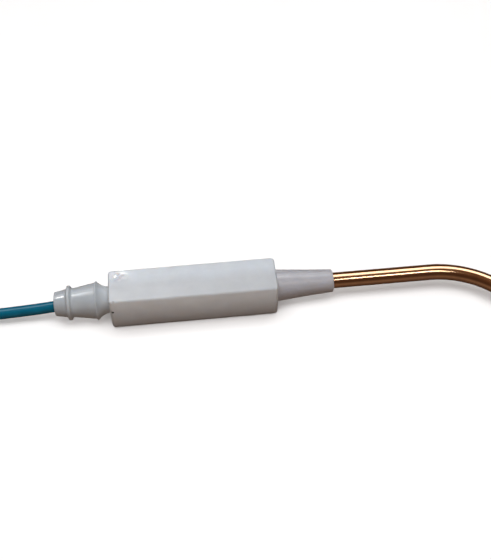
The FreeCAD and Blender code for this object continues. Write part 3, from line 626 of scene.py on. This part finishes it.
BOOT_LENGTH = HOUSING_LOW.x - low_of("cable_boot").x
INNER_END = high_of("cable_boot").x - HOUSING_LOW.x
FACE_SLIP = 0.02
NECK_RADIUS = 4.15
FLANGE_RADIUS = 5.2
END_WALL = 2.0
CABLE_RADIUS = CABLE_DIAMETER / 2 / MM
SHEATH_RADIUS = 3.0
LATHE_SEGMENTS = 144
WALL_RADIUS = 4.0


def neck(base_radius, bore_radius):
    """The corners inside the housing: bore, flange and neck, out to the housing's face."""
    return [
        (-INNER_END, bore_radius, 0),
        (-INNER_END, FLANGE_RADIUS, 0.15),
        (-END_WALL, FLANGE_RADIUS, 0.15),
        (-END_WALL, NECK_RADIUS, 0.1),
        (FACE_SLIP, NECK_RADIUS, 0.05),
        (FACE_SLIP, base_radius, 0.12),
    ]


def boot_outline():
    """The boot's corners, as the distance out from the housing and the radius."""
    waist_radius, skirt_radius = 5.0, 6.82
    waist_end, skirt = 0.7, 4.35
    waist = []
    for step in range(9):
        part = step / 8
        out = waist_end + (skirt - waist_end) * part
        waist.append((out, waist_radius + (skirt_radius - waist_radius) * part ** 1.7, 0))
    return neck(waist_radius, CABLE_RADIUS) + waist + [
        (skirt + 0.06, 7.2, 0.2),
        (skirt + 0.66, 7.2, 0.2),
        (skirt + 0.74, 6.78, 0.1),
        (13.55, 5.38, 0.5),
        (14.05, 5.75, 0.25),
        (14.12, 6.48, 0.55),
        (15.48, 6.48, 0.6),
        (15.55, 5.45, 0.25),
        (16.0, 5.2, 0.4),
        (BOOT_LENGTH, 4.45, 0.45),
        (BOOT_LENGTH, 3.6, 0.25),
        (5.5, CABLE_RADIUS + 0.1, 0),
        (4.5, CABLE_RADIUS, 0),
    ]


def moulding_lines(angle, depth, width=0.035):
    """A fine witness line at the top and bottom, where the mould's halves met."""
    from_line = abs(math.cos(angle))
    return depth * max(0.0, 1 - from_line / width)


def boot_relief(along, angle, radius):
    if along < FACE_SLIP or radius < WALL_RADIUS:
        return 0.0
    wobble = wave(along, 3 * math.cos(angle), 3 * math.sin(angle), 4.0)
    return 0.07 * wobble + moulding_lines(angle, 0.06)


def add_boot():
    outward = Matrix.Translation((HOUSING_LOW.x, 0, AXIS_HEIGHT)) @ Matrix.Rotation(math.pi, 4, "Z")
    mesh = lathe(rounded_outline(boot_outline()), LATHE_SEGMENTS, boot_relief)
    return add_piece("boot", mesh, "boot_plastic", "cable_boot", outward)


NOSE_LENGTH = high_of("nose_sleeve").x - HALF_LENGTH


def nose_relief(along, angle, radius):
    if along < FACE_SLIP or radius < WALL_RADIUS:
        return 0.0
    wobble = wave(along, 3 * math.cos(angle), 3 * math.sin(angle), 5.0)
    hollow = 0.07 * math.sin(math.pi * min(along / NOSE_LENGTH, 1.0))
    return 0.05 * wobble + hollow + moulding_lines(angle, 0.05)


def add_nose():
    outline = rounded_outline(neck(6.0, SHEATH_RADIUS) + [
        (NOSE_LENGTH, 4.3, 0.7),
        (NOSE_LENGTH, SHEATH_RADIUS + 0.25, 0.2),
        (NOSE_LENGTH - 0.5, SHEATH_RADIUS, 0),
    ])
    mesh = lathe(outline, LATHE_SEGMENTS, nose_relief)
    outward = Matrix.Translation((HALF_LENGTH, 0, AXIS_HEIGHT))
    return add_piece("nose", mesh, "sleeve_plastic", "nose_sleeve", outward)


# sheath

SHEATH_START = low_of("sheath_tube").x
BEND_RADIUS = 36.0
LEG_X = high_of("sheath_tube").x - SHEATH_RADIUS
LEG_END = 106.0
SHEATH_WALL = 0.5
TUBE_SEGMENTS = 72
BEND_STEPS = 72
STRAIGHT_STEPS = 48
OVAL_SHARE = 0.018
SWELL_DEPTH = 0.006
LEG_DROP = (AXIS_HEIGHT - SHEATH_RADIUS) / LEG_END


def sheath_matrix():
    """The sheath's plane: turned about the housing's axis until the tip lies on the floor."""
    lift = Matrix.Translation((0, 0, AXIS_HEIGHT))
    return lift @ Matrix.Rotation(math.asin(LEG_DROP), 4, "X")


def sheath_stations():
    """(place, turn) along the tube: straight, a quarter turn, then the leg."""
    bend_start = LEG_X - BEND_RADIUS
    found = []
    for step in range(STRAIGHT_STEPS + 1):
        along = SHEATH_START + (bend_start - SHEATH_START) * step / STRAIGHT_STEPS
        found.append((Vector((along, 0, 0)), 0.0))
    for step in range(1, BEND_STEPS + 1):
        turn = math.pi / 2 * step / BEND_STEPS
        out, down = BEND_RADIUS * math.sin(turn), BEND_RADIUS * (1 - math.cos(turn))
        found.append((Vector((bend_start + out, -down, 0)), turn))
    for step in range(1, STRAIGHT_STEPS + 1):
        down = BEND_RADIUS + (LEG_END - BEND_RADIUS) * step / STRAIGHT_STEPS
        found.append((Vector((LEG_X, -down, 0)), math.pi / 2))
    return found


def add_sheath():
    """The drawn tube, a little oval in its bend, with its own lengthwise coordinates."""
    mesh = bmesh.new()
    tube_place = mesh.verts.layers.float_vector.new("tube_place")
    walls = []
    for radius in (SHEATH_RADIUS, SHEATH_RADIUS - SHEATH_WALL):
        rings = []
        travelled = 0.0
        previous = None
        for place, turn in sheath_stations():
            travelled += (place - previous).length if previous else 0.0
            previous = place
            side = Vector((math.sin(turn), math.cos(turn), 0))
            oval = OVAL_SHARE * math.sin(turn * 2)
            ring = []
            for segment in range(TUBE_SEGMENTS):
                angle = math.tau * segment / TUBE_SEGMENTS
                up, out = math.sin(angle), math.cos(angle)
                swell = 0.0
                if radius == SHEATH_RADIUS:
                    swell = SWELL_DEPTH * wave(travelled, 3 * out, 3 * up, 5.0)
                local = side * out * (radius * (1 - oval) - swell)
                vertex = mesh.verts.new(place + local + Vector((0, 0, up * (radius - swell))))
                vertex[tube_place] = Vector((travelled, radius * out, radius * up)) * MM
                ring.append(vertex)
            rings.append(ring)
        walls.append(rings)
    outer, inner = walls
    loops = outer + inner[::-1]
    for ring, following in zip(loops, loops[1:] + loops[:1]):
        for segment in range(TUBE_SEGMENTS):
            after = (segment + 1) % TUBE_SEGMENTS
            mesh.faces.new((ring[segment], ring[after], following[after], following[segment]))
    return add_piece("sheath", mesh, "copper", "sheath_tube", sheath_matrix())


SPIGOT_LENGTH, SPIGOT_RADIUS = 1.9, 2.48
GROOVE_WIDTH, GROOVE_RADIUS = 0.06, 2.9
DOME_STEPS = 24


def add_tip_cap():
    """The sheath's domed end, with a fine groove where it meets the tube."""
    outline = [
        (-SPIGOT_LENGTH, 0.0),
        (-SPIGOT_LENGTH, SPIGOT_RADIUS),
        (0.0, SPIGOT_RADIUS),
        (0.0, GROOVE_RADIUS),
        (GROOVE_WIDTH, GROOVE_RADIUS),
    ]
    radius = SHEATH_RADIUS - 0.02
    for step in range(2, DOME_STEPS):
        angle = math.pi / 2 * step / DOME_STEPS
        outline.append((radius * math.sin(angle), radius * math.cos(angle)))
    outline.append((radius, 0.0))
    tip = Matrix.Translation((LEG_X, -LEG_END, 0)) @ Matrix.Rotation(-math.pi / 2, 4, "Z")
    mesh = lathe([Vector(place) for place in outline], TUBE_SEGMENTS)
    return add_piece("tip_cap", mesh, "copper", "sheath_tip_cap", sheath_matrix() @ tip)


# plug

PLUG_LOW, PLUG_HIGH = low_of("plug_base"), high_of("plug_cover")
PLUG_X = (PLUG_LOW.x + PLUG_HIGH.x) / 2
PLUG_HALF_WIDTH = PLUG_HIGH.x - PLUG_X
PLUG_MIDDLE = PLUG_HIGH.z / 2
GROMMET_LENGTH = 9.7
GROMMET_SEGMENTS = 96
TAPER_LENGTH = 7.0
NARROW_RADIUS, WIDE_RADIUS = 2.88, 3.28
RIBS = 5
FIRST_RIB = 0.8
RIB_PITCH = 1.2
RIB_DEPTH = 0.5
GRIP_START = 2.6
GRIP_PITCH = 1.5
GRIP_COUNT = 8
GRIP_DEPTH = 0.32
GRIP_CORNERS = (0.0, 0.1, 0.4, 0.5)
PANEL = (-5.6, 5.6, 8.2, 14.4)
PANEL_DEPTH = 0.22
PANEL_EDGE = 0.15
PLUG_SKIN = 0.75


def add_grommet():
    """A tapered strain relief with ring grooves."""
    corners = [(0, CABLE_RADIUS, 0), (0, NARROW_RADIUS, 0.3)]
    for rib in range(RIBS):
        low = FIRST_RIB + RIB_PITCH * rib
        radius = NARROW_RADIUS + (WIDE_RADIUS - NARROW_RADIUS) * low / TAPER_LENGTH
        corners += [
            (low, radius, 0.08),
            (low + 0.1, radius - RIB_DEPTH, 0.08),
            (low + 0.5, radius - RIB_DEPTH, 0.08),
            (low + 0.6, radius, 0.08),
        ]
    corners += [
        (TAPER_LENGTH, WIDE_RADIUS, 0.1),
        (TAPER_LENGTH, 2.6, 0.1),
        (8.5, 2.6, 0.1),
        (8.5, 3.18, 0.1),
        (GROMMET_LENGTH, 3.18, 0.1),
        (GROMMET_LENGTH, CABLE_RADIUS, 0),
    ]
    start = Matrix.Translation((PLUG_X, high_of("plug_grommet").y, PLUG_MIDDLE))
    turned = start @ Matrix.Rotation(-math.pi / 2, 4, "Z")
    mesh = lathe(rounded_outline(corners, arc_steps=3), GROMMET_SEGMENTS)
    return add_piece("grommet", mesh, "grommet_rubber", "plug_grommet", turned)


def edge_share(distance, width):
    """0 at an edge, rising to 1 over the width."""
    return min(max(distance / width, 0.0), 1.0)


def plug_relief(place):
    """Grip grooves on the plug's sides and a sunken panel on its broad faces."""
    across = place.x - PLUG_X
    along = place.y - PLUG_LOW.y
    depth = 0.0
    if abs(across) > PLUG_HALF_WIDTH - 0.2:
        groove = (along - GRIP_START) / GRIP_PITCH
        if 0 <= groove < GRIP_COUNT:
            part = groove % 1
            depth = GRIP_DEPTH * edge_share(min(part, 0.5 - part), 0.1)
    if abs(place.z - PLUG_MIDDLE) > PLUG_MIDDLE - 0.1:
        left, right, near, far = PANEL
        inside = min(across - left, right - across, along - near, far - along)
        depth += PANEL_DEPTH * edge_share(inside, PANEL_EDGE)
    return depth


def on_plug_skin(place):
    on_side = abs(place.x - PLUG_X) > PLUG_HALF_WIDTH - PLUG_SKIN
    return on_side or abs(place.z - PLUG_MIDDLE) > PLUG_MIDDLE - PLUG_SKIN


def add_plug_half(node, name):
    mesh = copy_in_mm(node)
    left, right, near, far = PANEL
    along = [near, near + PANEL_EDGE, far - PANEL_EDGE, far]
    for groove in range(GRIP_COUNT):
        along += [GRIP_START + (groove + part) * GRIP_PITCH for part in GRIP_CORNERS]
    across = [left, left + PANEL_EDGE, right - PANEL_EDGE, right]
    cut_grid(mesh, 1, [PLUG_LOW.y + place for place in along])
    cut_grid(mesh, 0, [PLUG_X + place for place in across])
    press_in(mesh, on_plug_skin, plug_relief, flat_axis=2, flat_place=PLUG_MIDDLE)
    return add_piece(name, mesh, "plug_plastic", node)


# ---- floor and light ----

FLOOR_SIZE = 3.0
FLOOR_GLOW = 0.02


def add_stage():
    bpy.ops.mesh.primitive_plane_add(size=FLOOR_SIZE, location=(0, 0, 0))
    floor = bpy.context.object
    floor.name = "floor"
    material = Material(
        "floor", Roughness=0.9, Emission_Color=(0.96, 0.99, 1.0, 1.0), Emission_Strength=FLOOR_GLOW)
    tone = material.noise(40.0, detail=2.0)
    white = material.ramp(tone, (0.3, (0.90, 0.90, 0.90)), (0.7, (0.92, 0.92, 0.92)))
    floor.data.materials.append(material.finish(white))
    floor.visible_glossy = False
    floor.visible_diffuse = False
    return floor


def add_area_light(name, elevation, distance, size, power, colour=(1, 1, 1), azimuth=0.0):
    """A soft box that looks at the housing. Elevation runs from the camera's side over the top."""
    data = bpy.data.lights.new(name, "AREA")
    data.shape = "RECTANGLE"
    data.size, data.size_y = size
    data.energy = power
    data.color = colour
    light = bpy.data.objects.new(name, data)
    rise = math.radians(elevation)
    towards = Vector((0, -math.cos(rise), math.sin(rise)))
    towards = Matrix.Rotation(math.radians(azimuth), 3, "Z") @ towards
    light.location = towards * distance
    light.rotation_mode = "QUATERNION"
    light.rotation_quaternion = towards.to_track_quat("Z", "Y")
    bpy.context.collection.objects.link(light)
    return light


def add_world():
    """Pale behind the part, and a dim warm room with a darker horizon in its reflections."""
    world = bpy.data.worlds.new("world")
    world.use_nodes = True
    tree = world.node_tree
    room = tree.nodes["Background"]
    direction = tree.nodes.new("ShaderNodeTexCoord").outputs["Generated"]
    split = tree.nodes.new("ShaderNodeSeparateXYZ")
    tree.links.new(direction, split.inputs["Vector"])
    height = tree.nodes.new("ShaderNodeMapRange")
    height.inputs["From Min"].default_value = -1.0
    tree.links.new(split.outputs["Z"], height.inputs["Value"])
    tones = tree.nodes.new("ShaderNodeValToRGB")
    elements = tones.color_ramp.elements
    while len(elements) < len(ROOM_TONES):
        elements.new(0.5)
    for element, (place, tone, colour) in zip(elements, ROOM_TONES):
        element.position = place
        element.color = (*shade(colour, tone), 1.0)
    tree.links.new(height.outputs["Result"], tones.inputs["Fac"])
    tree.links.new(tones.outputs["Color"], room.inputs["Color"])
    backdrop = tree.nodes.new("ShaderNodeBackground")
    backdrop.inputs["Color"].default_value = (0.95, 0.95, 0.95, 1.0)
    mix = tree.nodes.new("ShaderNodeMixShader")
    seen = tree.nodes.new("ShaderNodeLightPath").outputs["Is Camera Ray"]
    tree.links.new(seen, mix.inputs[0])
    tree.links.new(room.outputs["Background"], mix.inputs[1])
    tree.links.new(backdrop.outputs["Background"], mix.inputs[2])
    tree.links.new(mix.outputs["Shader"], tree.nodes["World Output"].inputs["Surface"])
    bpy.context.scene.world = world


WARM = (1.0, 0.52, 0.30)
PALE = (1.0, 0.68, 0.52)
ROOM_TONES = (
    (0.0, 0.06, PALE),
    (0.2, 0.11, PALE),
    (0.32, 0.19, PALE),
    (0.45, 0.12, PALE),
    (0.62, 0.05, WARM),
    (0.85, 0.07, WARM),
    (1.0, 0.12, WARM),
)


def group_of(name, members, state):
    """A collection for light linking, with each member's link state set."""
    group = bpy.data.collections.new(name)
    for member in members:
        group.objects.link(member)
    for entry in group.collection_objects:
        entry.light_linking.link_state = state
    return group


def link_light(light, receivers, state):
    """INCLUDE: the light reaches nothing but the receivers. EXCLUDE: it reaches all but them."""
    light.light_linking.receiver_collection = group_of(light.name + "_receivers", receivers, state)


CARD_NEAR, CARD_FAR, CARD_LENGTH = 0.025, 0.105, 0.20
CARD_POWER = 0.10
CARD_COLOUR = (1.0, 0.98, 0.96)


def add_bounce_card(side, shells):
    """A white card on the table beside the housing, which lifts the upper part of its side."""
    card = add_area_light("card", 90, 0.001, (CARD_LENGTH, CARD_FAR - CARD_NEAR), CARD_POWER, CARD_COLOUR)
    card.location = (0, side * (HALF_SIDE * MM + (CARD_NEAR + CARD_FAR) / 2), 0.0002)
    card.rotation_mode = "XYZ"
    card.rotation_euler = (math.pi, 0, 0)
    card.visible_glossy = False
    card.visible_camera = False
    link_light(card, shells, "INCLUDE")


def add_lights(floor, shells, boot, nose):
    """Overhead keys and low fills give the shading. The soft box, strip and glints only reflect."""
    key = add_area_light("key", 94, 1.0, (1.0, 0.66), 8.0, (0.83, 0.92, 1.0))
    key.visible_glossy = False
    link_light(key, [floor], "EXCLUDE")
    floor_key = add_area_light("floor_key", 82, 1.0, (1.0, 0.46), 6.9, (0.98, 0.99, 1.0))
    foot_key = add_area_light("foot_key", 104, 1.0, (1.0, 0.38), 6.1, (0.98, 0.99, 1.0))
    for light in (floor_key, foot_key):
        light.visible_glossy = False
        link_light(light, [floor], "INCLUDE")
    foot_key.light_linking.blocker_collection = group_of("foot_key_blockers", shells, "INCLUDE")
    soft_box = add_area_light("soft_box", 119, 1.0, (1.6, 0.55), 6, (0.97, 0.985, 1.0))
    soft_box.visible_diffuse = False
    strip = add_area_light("strip", 57, 1.0, (0.30, 0.09), 0.65, azimuth=35)
    strip.visible_diffuse = False
    for name, power, state in (("fill", 2.5, "EXCLUDE"), ("housing_fill", 0.6, "INCLUDE")):
        fill = add_area_light(name, 15, 1.2, (1.6, 1.0), power, (1.0, 0.95, 0.90))
        fill.visible_glossy = False
        link_light(fill, shells, state)
    for name, elevation, azimuth, power, lit in (
            ("housing_glint", 115, 33, 9.0, shells),
            ("boot_glint", 124, 49, 4.0, [boot]),
            ("nose_glint", 118, -28, 0.7, [nose])):
        glint = add_area_light(name, elevation, 1.0, (0.18, 0.10), power, azimuth=azimuth)
        glint.visible_diffuse = False
        link_light(glint, lit, "INCLUDE")
    for side in (-1, 1):
        add_bounce_card(side, shells)


MATERIALS = {
    "housing_plastic": milky_plastic("housing_plastic", (0.82, 0.84, 0.86), 0.35, marks=housing_gloss_and_painted_light),
    "boot_plastic": milky_plastic("boot_plastic", (0.66, 0.68, 0.69), 1.0, (0.34, 0.46), boot_marks),
    "sleeve_plastic": milky_plastic("sleeve_plastic", (0.66, 0.635, 0.65), 1.0, (0.22, 0.36)),
    "copper": polished_copper(),
    "brass": metal("brass", (0.82, 0.62, 0.30), (0.18, 0.34), (0.15, 1, 1)),
    "mineral_powder": packed_powder(),
    "thermocouple_alloy": metal("thermocouple_alloy", (0.56, 0.54, 0.50), (0.22, 0.4), (0.1, 1, 1)),
    "potting": cast_resin(),
    "insulating_board": glass_cloth_board(),
    "sleeving": braided_sleeving(),
    "core_white": solid_plastic("core_white", (0.80, 0.80, 0.77), 0.2, 0.005, (0.3, 0.42)),
    "core_teal": solid_plastic("core_teal", (0.01, 0.20, 0.32), 0.2, 0.005, (0.3, 0.42)),
    "conductor": stranded_wire("conductor", (0.86, 0.52, 0.36)),
    "cable_jacket": cable_jacket(),
    "grommet_rubber": soft_rubber(),
    "plug_plastic": solid_plastic("plug_plastic", (0.012, 0.105, 0.16)),
    "screw_steel": metal("screw_steel", (0.66, 0.66, 0.67), (0.16, 0.3), (1, 0.2, 1)),
    "blade_alloy": metal("blade_alloy", (0.62, 0.59, 0.54), (0.2, 0.34), (1, 0.06, 1)),
}

bpy.context.scene.view_settings.view_transform = "Standard"
add_camera()
add_world()
floor = add_stage()
finish_cad_nodes()
shells = [
    add_housing_shell("housing_front_shell", "front_shell"),
    add_housing_shell("housing_rear_shell", "rear_shell"),
]
boot = add_boot()
nose = add_nose()
add_lights(floor, shells, boot, nose)
add_sheath()
add_tip_cap()
plug_pieces = [
    add_grommet(),
    add_plug_half("plug_base", "plug_lower_half"),
    add_plug_half("plug_cover", "plug_upper_half"),
]
plug_pieces += [
    node for name, node in frame["nodes"].items()
    if name.startswith("plug_") and name not in REPLACED
]
cable = add_cable()
